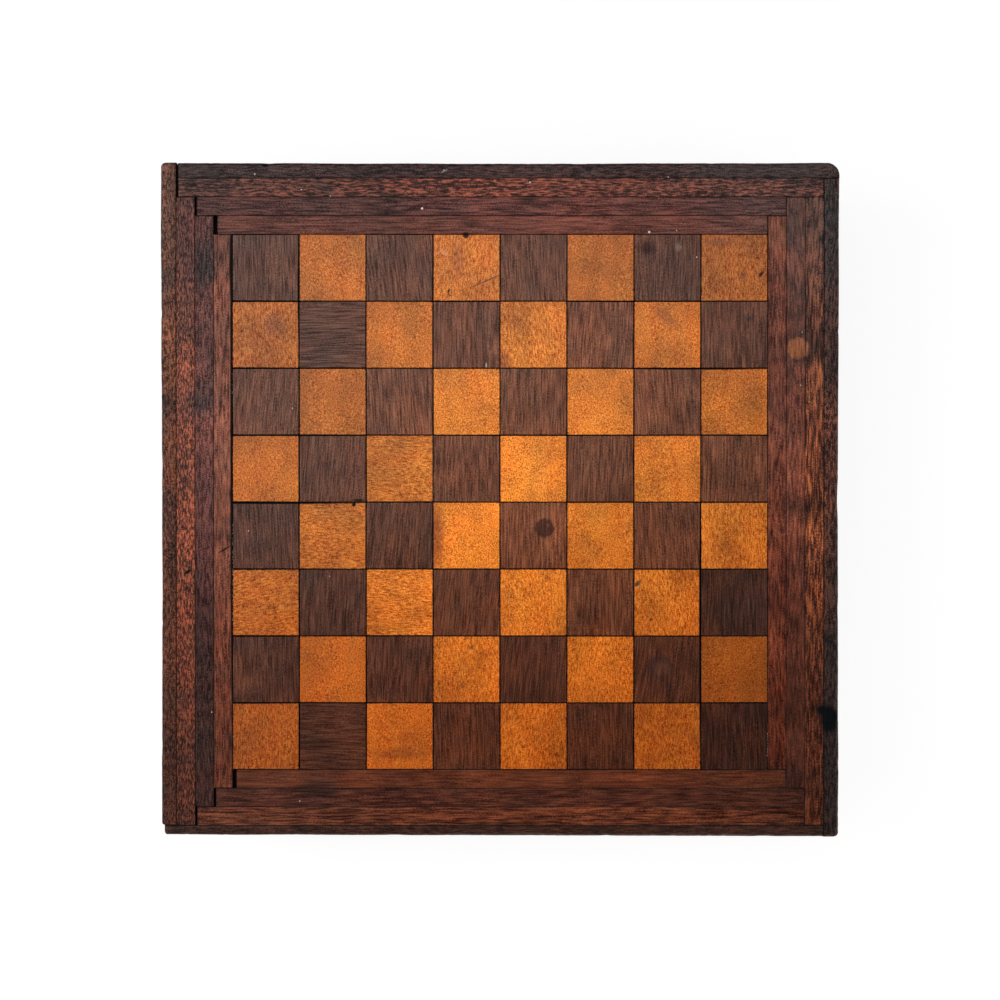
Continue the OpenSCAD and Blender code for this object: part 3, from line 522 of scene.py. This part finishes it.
class Wood(Graph):
    """A shellacked wood, laid up in steps: the grain, its colour, painted light and shade, then what age has
    done.
    moved is the place in this wood's part of the noise, and dull is 1 where the shine is gone."""

    def __init__(self, name, look_name, grain, seed):
        super().__init__(name)
        self.look_name, self.look = look_name, LOOKS[look_name]
        self.axis = AXIS[grain]
        self.in_squares = look_name in CROSS_LAID
        self.dull = 0.0
        self.moved = self.vector("ADD", self.place, tuple(seed * step for step in SEED_STEP))
        if self.in_squares:
            self.lay_squares(seed)
        wander = self.swing(self.along(WANDER_WAVES), WANDER, detail=1.0)
        self.moved = self.vector("ADD", self.moved, self.join(wander, wander, wander))

    def along(self, scales):
        """The place squeezed to waves across and along the grain."""
        across, lengthwise = scales
        squeeze = [across] * 3
        squeeze[self.axis] = lengthwise
        return self.vector("MULTIPLY", self.moved, tuple(squeeze))

    def lay_squares(self, seed):
        """Gives each square its own place in the noise, slant, tone and kind of grain."""
        cell, margin = cell_of(self)
        self.margin = self.math("SUBTRACT", margin, JOINT_HALF)
        chance = self.node("ShaderNodeTexWhiteNoise", {"Vector": self.join(*cell, seed)}).outputs["Color"]
        slant, shade, kind = self.split(chance)
        cross = 0.0
        for file, rank in CROSS_LAID[self.look_name]:
            cross = self.math("ADD", cross, is_cell(self, cell, file, rank))
        turn = self.math("MULTIPLY", self.math("SUBTRACT", slant, 0.5), math.radians(self.look.slant))
        turn = self.math("MULTIPLY_ADD", cross, math.radians(90.0), turn)
        shifted = self.vector("ADD", self.place, self.vector("SCALE", chance, SQUARE_STEP))
        self.moved = self.turned(shifted, turn)
        self.tone = self.math("MULTIPLY_ADD", self.math("SUBTRACT", shade, 0.5), 2 * self.look.tone, 1.0)
        for file, rank, kept in ODD_CUT[self.look_name]:
            change = self.math("MULTIPLY_ADD", is_cell(self, cell, file, rank), kept - 1.0, 1.0)
            self.tone = self.math("MULTIPLY", self.tone, change)
        self.curly = self.math("SUBTRACT", self.smooth(kind, CURLY_FROM, CURLY_TO), cross)

    def lay_grain(self):
        """Fibres, bands, grit and dark pores. value is how pale they make the wood, from 0 to 1."""
        look = self.look
        *fibre_waves, fibre_share = look.fibre
        *pore_waves, pore_share = look.pores
        fibre = self.swing(self.along(fibre_waves), GRAIN_SWING * fibre_share, detail=0.0)
        if look.curl:
            curl = self.swing(self.along(look.curl), GRAIN_SWING * fibre_share, detail=1.0)
            fibre = self.between(self.curly, fibre, curl)
        grit = self.swing(self.moved, GRAIN_SWING * look.grit, scale=GRIT_WAVES, detail=0.0)
        bands = self.swing(self.along(BAND_WAVES), SOFT_SWING * look.bands, detail=1.0)
        pores = self.noise(self.along(pore_waves), detail=0.0)
        pores = self.smooth(pores, look.pores_from, look.pores_from + PORE_EDGE)
        grit = self.math("ADD", grit, 0.5 + PORE_AMENDS * pore_share)
        value = self.math("ADD", self.math("ADD", fibre, bands), grit)
        self.value = self.math("MULTIPLY_ADD", pores, -PORE_DARKNESS * pore_share, value)
        self.height = self.math("MULTIPLY_ADD", pores, -PORE_DEPTH, fibre)
        deep, middle, pale = look.colours
        self.colour = self.ramp(self.value, (0.0, deep), (0.5, middle), (1.0, pale))

    def pale(self, strip):
        """Painted light: makes the wood palest where a pool of light falls, in the middle of the board or at
        one place along a strip.
        """
        look = self.look
        if strip:
            place, reach = look.rubbed
            along_strip = self.math("SUBTRACT", self.split(self.place)[self.axis], place)
            far = self.math("DIVIDE", self.math("ABSOLUTE", along_strip), reach)
        else:
            far = self.math("DIVIDE", self.vector("DISTANCE", self.place, look.lit_at), look.lit_reach)
        paled = self.math("EXPONENT", self.math("MULTIPLY", self.math("POWER", far, LIT_FALL), -1.0))
        self.colour = self.tinted(self.colour, self.mix(paled, look.rim, look.centre))

    def paint_front_shade(self):
        """Painted shade: the board's darker, redder front and its darker front right corner."""
        front = self.smooth(self.split(self.place)[1], FRONT_SHADE_FROM, FRONT_SHADE_TO)
        self.colour = self.tinted(self.colour, self.mix(front, (1.0, 1.0, 1.0), FRONT_SHADE_TINT))
        away = self.vector("DISTANCE", self.place, SHADED_CORNER_AT)
        self.colour = self.times(self.colour, self.smooth(away, 0.0, SHADED_CORNER_REACH, SHADED_CORNER_SHARE, 1.0))

    def vary(self):
        """Slow drifts of the hue and clouds of light and dark."""
        drift = self.noise(self.along(DRIFT_WAVES), detail=2.0)
        self.colour = self.tinted(self.colour, self.mix(drift, COOL, WARM))
        cloud = self.swing(self.moved, SOFT_SWING * self.look.clouds, 1.0, scale=CLOUD_WAVES)
        if self.in_squares:
            cloud = self.math("MULTIPLY", cloud, self.tone)
        self.colour = self.times(self.colour, cloud)

    def cover(self, cover, tint, dulls=True):
        """Covers the wood with another colour, which may take its shine."""
        self.colour = self.mix(cover, self.colour, tint)
        if dulls:
            self.dull = self.math("MAXIMUM", self.dull, cover)

    def mark(self, low, high):
        """The marks and scratches on this wood, and the dust between two corners."""
        x, y, _ = self.split(self.place)
        flat = self.join(x, y, 0.0)
        texture = self.math("MULTIPLY_ADD", self.value, TEXTURE_SHARE, TEXTURE_BASE)
        found = blots(self, flat, texture, self.look_name) + scratches(self, flat, self.look_name)
        for cover, strength, tint in found:
            self.cover(cover, tint, strength >= DULL_FROM)
        for x, y, radius in DUST:
            if low[0] < x < high[0] and low[1] < y < high[1]:
                distance = self.vector("DISTANCE", flat, (x, y, 0.0))
                self.cover(self.smooth(distance, radius, DUST_CORE * radius), DUST_COLOUR, False)

    def dirty_and_shaded_joints(self):
        """Dirt on the squares' edges, and painted shade along them."""
        ragged = self.math("ADD", self.margin, self.swing(self.moved, JOINT_RAGGED, scale=JOINT_WAVES))
        wider = self.smooth(self.split(self.place)[0], DIRTIER_FROM, DIRTIER_TO, 0.0, DIRTIER_BY)
        self.cover(self.smooth(self.math("SUBTRACT", ragged, wider), *JOINT_DIRT), DIRT)
        # painted shade: darker close to each joint
        shade = self.smooth(self.margin, 0.0, JOINT_SHADE_REACH, JOINT_SHADE, 1.0)
        self.colour = self.times(self.colour, shade)

    def dirty_edges(self, strip):
        """Dirt along a strip's long edges and at its ends."""
        gaps = gaps_to(self, *strip)
        side_gap, end_gap = gaps[1 - self.axis], gaps[self.axis]
        ragged = self.swing(self.moved, STRIP_RAGGED, scale=STRIP_WAVES)
        for gap, (reach, share) in ((side_gap, self.look.dirt), (end_gap, END_DIRT)):
            away = self.math("ADD", gap, ragged)
            self.cover(self.smooth(away, reach, DIRT_CORE * reach, 0.0, share), DIRT)

    def rub_and_shade_arris(self):
        """A lipping's outer arris, rubbed bare, or on the left lipping darkened with dirt and painted shade.
        """
        x_gap, y_gap, z_gap = gaps_to(self, *BOARD)
        below = self.math("MAXIMUM", self.math("SUBTRACT", z_gap, ARRIS_DROP), 0.0)
        away = self.math("ADD", self.least(x_gap, y_gap), below)
        away = self.math("ADD", away, self.swing(self.moved, ARRIS_RAGGED, scale=ARRIS_WAVES))
        share, tint = self.look.arris
        self.cover(self.smooth(away, ARRIS_REACH, ARRIS_CORE, 0.0, share), tint, False)

    def wear_edges(self, panel):
        """A panel's edges, rubbed pale."""
        ragged = self.swing(self.moved, PANEL_RAGGED, scale=PANEL_WAVES, detail=4.0)
        away = self.math("ADD", edge_gap(self, *panel), ragged)
        paled = self.smooth(away, PANEL_REACH, PANEL_CORE, 1.0, PANEL_PALED)
        self.colour = self.times(self.colour, paled)

    def shellacked(self, on_board):
        """The finished material. On the board the shellac is a coat that is thinner in the pores."""
        look = self.look
        gloss = self.swing(self.place, GLOSS_SWING, look.gloss, scale=GLOSS_WAVES)
        rough = self.between(self.dull, gloss, DULL_ROUGHNESS)
        surface = (self.colour, rough, self.height, GRAIN_RELIEF)
        if not on_board:
            return self.finish(*surface, specular=look.specular)
        in_pores = POLISH_IN_PORES * look.specular - 2.0 * BARE_SPECULAR
        pale = self.math("MAXIMUM", self.value, 0.0)
        polish = self.math("MULTIPLY_ADD", pale, POLISH_IN_PALE * look.specular, in_pores)
        polish = self.between(self.dull, polish, 0.0)
        return self.finish(*surface, specular=BARE_SPECULAR, polish=polish, gloss=look.gloss)


def wood(name, look_name, grain="y", seed=0.0, strip=None, panel=None):
    """A wood with its grain along an axis. The box of a strip, in millimetres, says where dirt has gathered,
    and the box of a panel where its edges are rubbed."""
    made = Wood(name, look_name, grain, seed)
    on_board = bool(strip) or made.in_squares
    made.lay_grain()
    # painted pool of light, palest in the middle
    made.pale(strip)
    if on_board:
        # painted shade towards the front and its right corner
        made.paint_front_shade()
    made.vary()
    if on_board:
        made.mark(*(strip or (FIELD_LOW, FIELD_HIGH)))
    if made.in_squares:
        made.dirty_and_shaded_joints()
    if strip:
        made.dirty_edges(strip)
    if made.look.arris:
        made.rub_and_shade_arris()
    if panel:
        made.wear_edges(panel)
    return made.shellacked(on_board)


# bright, tarnished, roughness
STEEL = (0.32, 0.31, 0.29), (0.12, 0.10, 0.085), 0.4
BRASS = (0.40, 0.28, 0.12), (0.19, 0.135, 0.065), 0.34
TARNISH_WAVES, TARNISH_FROM, TARNISH_TO, TARNISH_DULLS = 0.35, 0.30, 0.70, 0.22
METAL_WAVES = 2.2
# dark, pale, waves, detail, roughness, relief
FILLER = (0.12, 0.10, 0.08), (0.46, 0.40, 0.35), 2.5, 3.0, 0.8, 0.05
# the ground board's near-black glue and dirt, which is also painted shade in the gaps between the squares
GLUE_AND_GAP_SHADE = (0.004, 0.003, 0.002), (0.016, 0.010, 0.007), 0.8, 4.0, 0.9, 0.2


def metal(name, bright, tarnished, roughness):
    """A metal that is tarnished in clouds."""
    g = Graph(name)
    tarnish = g.noise(g.place, TARNISH_WAVES, detail=3.0, roughness=0.55)
    tarnish = g.smooth(tarnish, TARNISH_FROM, TARNISH_TO)
    colour = g.mix(tarnish, bright, tarnished)
    rough = g.math("MULTIPLY_ADD", tarnish, TARNISH_DULLS, roughness)
    height = g.noise(g.place, METAL_WAVES, detail=3.0)
    return g.finish(colour, rough, height, GRAIN_RELIEF, metallic=1.0)


def lumpy(name, dark, pale, waves, detail, roughness, relief):
    """Glue, dirt or filler: lumps of two colours."""
    g = Graph(name)
    lumps = g.noise(g.place, waves, detail)
    return g.finish(g.mix(lumps, dark, pale), roughness, lumps, relief)


WELD, EDGE_STEPS, EDGE_ANGLE = 0.005, 2, 40
# how far sharp edges are rounded, in millimetres
NO_EDGE, STRIP_EDGE, SQUARE_EDGE, PLAIN_EDGE = 0.0, 0.08, 0.15, 0.25
RAIL_EDGE, PANEL_EDGE, FRONT_EDGE = 0.3, 0.5, 0.6


def dress(node, material, edge=PLAIN_EDGE):
    """Gives a CAD node its material, and rounds its sharp edges a little."""
    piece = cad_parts[node]
    for slot in piece.material_slots:
        slot.material = material
    weld = piece.modifiers.new("weld", "WELD")
    weld.merge_threshold = WELD * MM
    if edge:
        bevel = piece.modifiers.new("soft edges", "BEVEL")
        bevel.width = edge * MM
        bevel.segments = EDGE_STEPS
        bevel.limit_method = "ANGLE"
        bevel.angle_limit = math.radians(EDGE_ANGLE)


# -------- worn lippings

# side: (long axis, which way is outward, how much narrower it is at its low end, and the bar's open ends as
# (end, radius of its rubbed corner))
LIPPINGS = {
    "left": ("y", (-1, 0), 0.2, (("low", 1.6), ("high", 2.4))),
    "back": ("x", (0, 1), 0.0, (("high", 7.0),)),
    "right": ("y", (1, 0), 0.15, (("low", 2.6),)),
    "front": ("x", (0, -1), 1.0, (("low", 1.6),)),
}
# hollows and dents: (place along the bar, half length, depth)
DENTS = {
    "left": ((-30.0, 190.0, 0.4), (106.0, 4.0, 0.3), (20.0, 9.0, 0.2), (-70.0, 3.0, 0.25),
             (-140.0, 6.0, 0.2)),
    "back": ((0.0, 190.0, 0.35), (-131.0, 4.0, 0.25), (45.0, 8.0, 0.2), (120.0, 4.0, 0.2)),
    "right": ((-10.0, 150.0, 0.4), (0.0, 14.0, 0.45), (96.0, 3.0, 0.25), (-150.0, 5.0, 0.2),
              (-62.0, 7.0, 0.2)),
    "front": ((-60.0, 9.0, 0.2), (60.0, 4.0, 0.25), (150.0, 8.0, 0.25)),
}
END_STATIONS = (0.0, 0.1, 0.3, 0.6, 1.0, 1.5, 2.2, 3.0, 4.0, 5.2, 6.6)
STATION_STEP = 2.0
# slow waves and small nicks: how many a millimetre, and how deep they go outside and on top
SLOW, FAST = 0.03, 0.35
WAVE_DEPTH, NICK_DEPTH, SINK_DEPTH = 0.12, 0.10, 0.06
WAVES_APART, NICKS_APART = (7.0, 5.0), 3.0  # how far apart the sides lie in that noise
# the outer arris: its radius, how much waves and nicks add to it, and its largest share of the width
ARRIS, ARRIS_BY_WAVE, ARRIS_BY_NICK, ARRIS_SHARE = 1.8, 0.5, 0.3, 0.8
ARRIS_TURNS = range(0, 91, 15)
SHARP_FROM = 45
END_ARRIS, THINNEST = 1.0, 0.6
# the small arrises at the top inside and at the foot outside, as (outward, up) from their corners
INNER_ARRIS = ((0.0, -0.3), (0.1, -0.05), (0.35, 0.0))
FOOT_ARRIS = ((0.0, 0.8), (-0.25, 0.22), (-0.8, 0.0))


def rounded(distance, radius):
    """How far a rounded corner of that radius has fallen back, that distance from where it ends."""
    if distance >= radius:
        return 0.0
    return radius - math.sqrt(radius ** 2 - (radius - max(distance, 0.0)) ** 2)


def stations(low, high):
    """Places along a bar, close together near its ends."""
    span = high - low - 2 * END_STATIONS[-1]
    count = int(span / STATION_STEP)
    middle = [low + END_STATIONS[-1] + span * i / count for i in range(1, count)]
    return [low + d for d in END_STATIONS] + middle + [high - d for d in reversed(END_STATIONS)]


def worn_section(side, along, width, height, low, high):
    """The bar's section at one place, as (outward, up), from the inner foot up, over and down outside."""
    _, (x, y), taper, ends = LIPPINGS[side]
    wave = noise.noise(Vector((along * SLOW, x * WAVES_APART[0], y * WAVES_APART[1])))
    nick = noise.noise(Vector((along * FAST, x + NICKS_APART, y)))
    back = WAVE_DEPTH * (1 + wave) + NICK_DEPTH * max(0.0, nick)
    back += taper * (high - along) / (high - low)
    for place, half, depth in DENTS[side]:
        if abs(along - place) < half:
            back += depth * (0.5 + 0.5 * math.cos(math.pi * (along - place) / half))
    sink = SINK_DEPTH * (1 + nick)
    arris = ARRIS + ARRIS_BY_WAVE * wave + ARRIS_BY_NICK * nick
    for end, radius in ends:
        distance = along - low if end == "low" else high - along
        back += rounded(distance, radius)
        sink += rounded(distance, END_ARRIS)
    top, outer = height - sink, max(width - back, THINNEST)
    arris = min(arris, outer * ARRIS_SHARE)
    points = [(0.0, 0.0)] + [(out, top + up) for out, up in INNER_ARRIS]
    for degrees in ARRIS_TURNS:
        turn = math.radians(degrees)
        points.append((outer - arris + arris * math.sin(turn), top - arris + arris * math.cos(turn)))
    return points + [(outer, height * 0.5)] + [(outer + out, up) for out, up in FOOT_ARRIS]


def worn_lipping(side):
    """Stands for a CAD lipping: the same bar with rubbed arrises, dents and a rounded corner."""
    axis, outward, _, _ = LIPPINGS[side]
    low, high = box_mm(side + "_lipping")
    run = AXIS[axis]
    across = 1 - run
    width, height = high[across] - low[across], high[2] - low[2]
    inner = low[across] if sum(outward) > 0 else high[across]
    mesh = bmesh.new()
    rings = []
    for along in stations(low[run], high[run]):
        ring = []
        for out, up in worn_section(side, along, width, height, low[run], high[run]):
            point = [0.0, 0.0, low[2] + up]
            point[run], point[across] = along, inner + sum(outward) * out
            ring.append(mesh.verts.new(Vector(point) * MM))
        rings.append(ring)
    for first, second in zip(rings, rings[1:]):
        for i, j in zip(range(len(first)), [*range(1, len(first)), 0]):
            mesh.faces.new((first[i], first[j], second[j], second[i]))
    mesh.faces.new(rings[0])
    mesh.faces.new(list(reversed(rings[-1])))
    bmesh.ops.recalc_face_normals(mesh, faces=mesh.faces)
    data = bpy.data.meshes.new(f"worn_{side}_lipping")
    mesh.to_mesh(data)
    mesh.free()
    data.shade_smooth()
    data.set_sharp_from_angle(angle=math.radians(SHARP_FROM))
    seed = LIPPING_SEED + SIDES.index(side)
    data.materials.append(wood(f"{side}_lipping_wood", f"{side}_lipping", axis, seed, (low, high)))
    piece = added(data)
    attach(piece, "case")
    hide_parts(side + "_lipping")


# -------- crumbs of old filler in the joints

# runs of crumbs: (one end, the other end, how many)
CRUMB_RUNS = (
    ((-152.2, -14.0), (-152.2, -68.0), 34),
    ((74.6, -6.0), (74.6, -19.0), 12),
    ((152.2, -128.0), (152.2, -150.0), 12),
    ((-152.2, 90.0), (-152.2, 60.0), 7),
    ((152.2, 14.0), (152.2, -6.0), 6),
)
CRUMB_SEED = 5
CRUMB_SIZE, CRUMB_LENGTH, CRUMB_FLATNESS = (0.22, 0.42), (0.9, 2.2), 0.9
CRUMB_STRAY, CRUMB_SUNK = 0.06, 0.05
CRUMB_LUMPS, CRUMB_LUMP_WAVES = 0.35, 3.0


def joint_crumbs():
    """Pale lumps of filler wedged between the squares and the strips, just under the surface."""
    chance = random.Random(CRUMB_SEED)
    mesh = bmesh.new()
    for start, end, count in CRUMB_RUNS:
        for _ in range(count):
            spot = Vector(start).lerp(Vector(end), chance.random())
            size = chance.uniform(*CRUMB_SIZE)
            lump = bmesh.ops.create_icosphere(mesh, subdivisions=2, radius=size * MM)["verts"]
            stretch = Vector((1.0, chance.uniform(*CRUMB_LENGTH), CRUMB_FLATNESS))
            x = spot[0] + chance.uniform(-CRUMB_STRAY, CRUMB_STRAY)
            centre = Vector((x, spot[1], TOP / MM - size - CRUMB_SUNK)) * MM
            for vertex in lump:
                at = vertex.co / MM * CRUMB_LUMP_WAVES + Vector((spot[0], spot[1], 0.0))
                vertex.co = centre + vertex.co * (1 + CRUMB_LUMPS * noise.noise(at)) * stretch
    data = bpy.data.meshes.new("joint_crumbs")
    mesh.to_mesh(data)
    mesh.free()
    data.shade_smooth()
    data.materials.append(lumpy("old_filler", *FILLER))
    piece = added(data)
    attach(piece, "case")


# -------- dressing the pieces

# where in the noise each wood lies
SQUARE_SEEDS = {"light": 117.0, "dark": 35.0}
STRIP_SEED, LIPPING_SEED, PANEL_SEED, RAIL_SEEDS = 3.0, 9.0, 20.0, {"front": 25.0, "back": 28.0}


def dress_board():
    for kind, seed in SQUARE_SEEDS.items():
        material = wood(kind + "_square_wood", kind, "y", seed)
        for rank in range(1, SQUARES + 1):
            dress(f"{kind}_squares_rank_{rank}", material, SQUARE_EDGE)
    for index, side in enumerate(SIDES):
        grain = LIPPINGS[side][0]
        for ring in ("outer", "middle", "inner"):
            look, node = f"{side}_{ring}", f"{side}_{ring}_strip"
            dress(node, wood(look + "_wood", look, grain, STRIP_SEED + index, box_mm(node)), STRIP_EDGE)
        worn_lipping(side)
    joint_crumbs()
    dress("ground_board", lumpy("glue_dirt_and_gap_shade", *GLUE_AND_GAP_SHADE), NO_EDGE)


def dress_case():
    inside_y = wood("inside_wood_lengthwise", "inside", "y", PANEL_SEED + 2)
    inside_x = wood("inside_wood_crosswise", "inside", "x", PANEL_SEED + 3)
    steel = metal("dull_steel", *STEEL)
    brass = metal("tarnished_brass", *BRASS)

    def dress_outside(node, grain, seed, edge):
        dress(node, wood(node + "_wood", "case", grain, seed, panel=box_mm(node)), edge)

    dress_outside("left_side_panel", "y", PANEL_SEED, PANEL_EDGE)
    dress_outside("right_side_panel", "y", PANEL_SEED + 1, PANEL_EDGE)
    dress("centre_partition", inside_x)
    dress("bottom_panel", inside_x)
    dress("case_screws", steel, NO_EDGE)
    for end, seed in RAIL_SEEDS.items():
        dress_outside(end + "_top_rail", "x", seed, RAIL_EDGE)
        dress_outside(end + "_bottom_rail", "x", seed + 1, PANEL_EDGE)
        dress_outside(end + "_drawer_front", "x", seed + 2, FRONT_EDGE)
        for part in ("runners", "kickers", "drawer_left_side", "drawer_right_side"):
            dress(f"{end}_{part}", inside_y)
        for part in ("drawer_back", "drawer_bottom"):
            dress(f"{end}_{part}", inside_x)
        dress(end + "_drawer_knob", brass, NO_EDGE)
        dress(end + "_drawer_knob_screw", steel, NO_EDGE)


# -------- floor, light and camera

FLOOR_SIZE, FLOOR_DROP = 8.0, 0.0003
FLOOR_SEEN = (0.22, 0.85)  # what the camera sees of the floor: its share of the light, and its own white
FLOOR_TRUE = 0.90
WORLD_SEEN, WORLD_TRUE = 0.85, 0.06  # what the camera sees of the world, and the light that it gives
# square lamps aimed at the board: (azimuth, elevation, distance, size, share). Azimuth 0 is in front of the
# board, 90 on its right, and share is what a lamp adds to the light of a white card lying on the board.
SOFTBOXES = {
    "key": (-102.0, 42.0, 1.25, 0.6, 0.26),
    "sheen": (-166.0, 66.0, 1.3, 1.15, 0.29),
    "fill_right": (80.0, 38.0, 1.6, 0.9, 0.16),
    "fill_left": (-70.0, 48.0, 1.6, 0.9, 0.13),
    "fill_front": (8.0, 24.0, 1.6, 0.9, 0.13),
}
PHOTO_PX, MM_PER_PX = 1000, 0.5678
CAMERA_DISTANCE, CAMERA_TILT, SENSOR_MM = 0.9, 0.3, 36.0


def make_floor():
    """A pale floor that keeps the shadow. Seen from below it is clear, so that the underside shows."""
    bpy.ops.mesh.primitive_plane_add(size=FLOOR_SIZE, location=(0, 0, -FLOOR_DROP))
    floor = bpy.context.object
    floor.name = "floor"
    g = Graph("pale_floor")
    ray = g.node("ShaderNodeLightPath")
    seen = g.math("MAXIMUM", ray.outputs["Is Camera Ray"], ray.outputs["Is Glossy Ray"])
    seen = g.math("MAXIMUM", seen, ray.outputs["Is Transmission Ray"])
    shade, white = FLOOR_SEEN
    plain = g.node("ShaderNodeBsdfDiffuse", {"Color": [FLOOR_TRUE] * 3})
    faint = g.node("ShaderNodeBsdfDiffuse", {"Color": [shade] * 3})
    glow = g.node("ShaderNodeEmission", {"Color": [white] * 3, "Strength": 1.0})
    both = g.node("ShaderNodeAddShader", {0: faint.outputs[0], 1: glow.outputs[0]})
    floor_face = g.node("ShaderNodeMixShader", {0: seen, 1: plain.outputs[0], 2: both.outputs[0]})
    below = g.node("ShaderNodeNewGeometry").outputs["Backfacing"]
    clear = g.node("ShaderNodeBsdfTransparent")
    result = g.node("ShaderNodeMixShader", {0: below, 1: floor_face.outputs[0], 2: clear.outputs[0]})
    g.node("ShaderNodeOutputMaterial", {"Surface": result.outputs[0]})
    floor.data.materials.append(g.material)


def make_world():
    """A dim white studio, which the camera sees as white."""
    world = bpy.data.worlds.new("studio")
    bpy.context.scene.world = world
    world.use_nodes = True
    nodes, links = world.node_tree.nodes, world.node_tree.links
    background = nodes["Background"]
    background.inputs["Color"].default_value = (1.0, 1.0, 1.0, 1.0)
    strength = nodes.new("ShaderNodeMapRange")
    strength.inputs["To Min"].default_value = WORLD_TRUE
    strength.inputs["To Max"].default_value = WORLD_SEEN
    links.new(nodes.new("ShaderNodeLightPath").outputs["Is Camera Ray"], strength.inputs["Value"])
    links.new(strength.outputs["Result"], background.inputs["Strength"])


def make_lights():
    for name, (azimuth, elevation, distance, size, share) in SOFTBOXES.items():
        a, e = math.radians(azimuth), math.radians(elevation)
        out = Vector((math.sin(a) * math.cos(e), -math.cos(a) * math.cos(e), math.sin(e)))
        data = bpy.data.lights.new(name, "AREA")
        data.shape = "SQUARE"
        data.size = size
        data.energy = share * math.pi ** 2 * distance ** 2 / math.sin(e)
        lamp = added(data)
        lamp.location = Vector((0, 0, TOP)) + out * distance
        lamp.rotation_mode = "QUATERNION"
        lamp.rotation_quaternion = (-out).to_track_quat("-Z", "Y")


def make_camera():
    """Straight down on the board, as in the photograph."""
    data = bpy.data.cameras.new("camera")
    data.sensor_width = SENSOR_MM
    data.lens = SENSOR_MM * CAMERA_DISTANCE / (PHOTO_PX * MM_PER_PX * MM)
    camera = added(data)
    lean = math.radians(CAMERA_TILT)
    camera.location = Vector((0.0, 0.0, TOP)) + CAMERA_DISTANCE * Vector((0, math.sin(lean), math.cos(lean)))
    camera.rotation_euler = (-lean, 0, 0)
    bpy.context.scene.camera = camera


dress_board()
dress_case()
make_floor()
make_world()
make_lights()
make_camera()
bpy.context.scene.view_settings.view_transform = "Standard"
